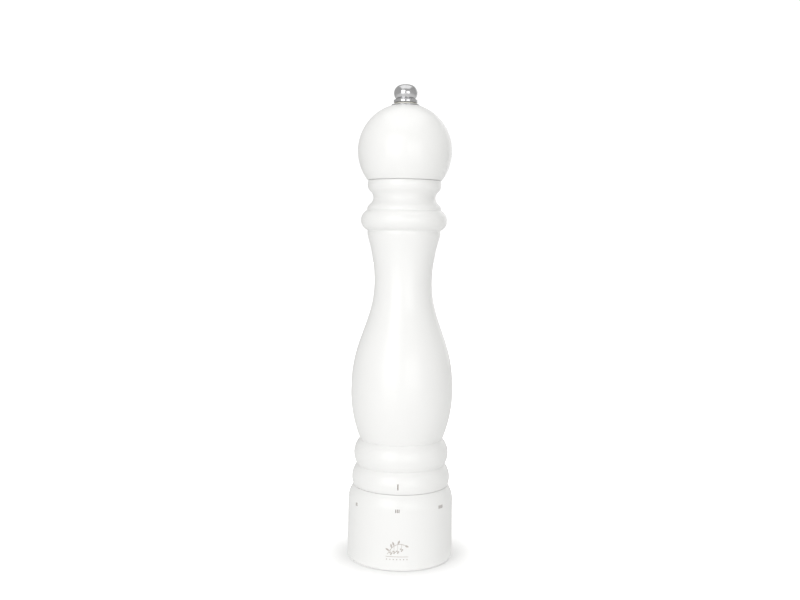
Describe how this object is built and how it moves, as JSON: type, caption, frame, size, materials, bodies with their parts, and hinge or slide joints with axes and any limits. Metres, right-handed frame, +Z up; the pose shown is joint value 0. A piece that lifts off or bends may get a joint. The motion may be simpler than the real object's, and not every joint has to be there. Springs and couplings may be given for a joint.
{
  "type": "pepper mill",
  "caption": "Tall turned white-lacquered wooden pepper mill with a ball head, steel finial nut and a turning grind-setting ring at the foot; burr mechanism inside.",
  "frame": {"origin": "centre of the foot ring's lower face, on the mill's axis", "axes": "+Z up along the mill's axis; the index line and the shown grind setting face -Y"},
  "size_m": [0.067, 0.067, 0.3],
  "materials": {
    "white_lacquer": "white satin lacquer on beech",
    "white_plastic": "satin moulded",
    "black_plastic": "satin moulded",
    "stainless": "polished stainless",
    "burr_steel": "hardened, dark",
    "spring_steel": "drawn wire",
    "brass": "turned",
    "nylon": "moulded"
  },
  "bodies": {
    "mill_body": {"body_shell": "white_lacquer", "mechanism_housing": "white_plastic", "housing_screw_1": "stainless", "housing_screw_2": "stainless", "housing_screw_3": "stainless", "upper_bridge": "stainless", "stator_burr": "burr_steel", "stator_snap_ring": "spring_steel", "detent_ball": "stainless", "detent_spring": "spring_steel"},
    "grind_ring": {"grind_ring_shell": "white_lacquer", "adjuster_sleeve": "black_plastic"},
    "carrier": {"burr_carrier": "black_plastic", "carrier_bush": "brass", "thrust_washer": "stainless"},
    "spindle": {"spindle": "stainless", "spindle_bush": "brass", "spindle_clip_lower": "spring_steel", "spindle_clip_upper": "spring_steel", "spring_washer": "stainless", "rotor_spring": "spring_steel"},
    "rotor": {"rotor_burr": "burr_steel"},
    "head": {"head_shell": "white_lacquer", "drive_plate": "stainless", "drive_plate_screw_1": "stainless", "drive_plate_screw_2": "stainless", "head_ferrule": "stainless"},
    "nut_ring": {"nut_friction_ring": "nylon"},
    "nut": {"finial_nut": "stainless"}
  },
  "joints": [
    {"name": "grind_ring_turn", "type": "hinge", "parent": "mill_body", "child": "grind_ring", "pos_m": [0, 0, 0.03], "axis": [0, 0, 1], "range_deg": [-154.3, 102.9]},
    {"name": "carrier_lift", "type": "slide", "parent": "mill_body", "child": "carrier", "axis": [0, 0, 1], "range_m": [-0.00175, 0.00118]},
    {"name": "spindle_turn", "type": "hinge", "parent": "mill_body", "child": "spindle", "pos_m": [0, 0, 0.06], "axis": [0, 0, 1], "continuous": true},
    {"name": "rotor_lift", "type": "slide", "parent": "spindle", "child": "rotor", "axis": [0, 0, 1], "range_m": [-0.00175, 0.00118], "deforming": ["rotor_spring"]},
    {"name": "head_lift", "type": "slide", "parent": "spindle", "child": "head", "axis": [0, 0, 1], "range_m": [0, 0.07]},
    {"name": "nut_rise", "type": "slide", "parent": "head", "child": "nut_ring", "axis": [0, 0, 1], "range_m": [0, 0.0046]},
    {"name": "nut_turn", "type": "hinge", "parent": "nut_ring", "child": "nut", "pos_m": [0, 0, 0.29], "axis": [0, 0, 1], "range_deg": [0, 1620]}
  ],
  "couplings": [
    {"joint": "carrier_lift", "follows": "grind_ring_turn", "m_per_rad": 0.00063662},
    {"joint": "rotor_lift", "follows": "grind_ring_turn", "m_per_rad": 0.00063662},
    {"joint": "nut_rise", "follows": "nut_turn", "m_per_rad": 0.00015915}
  ]
}
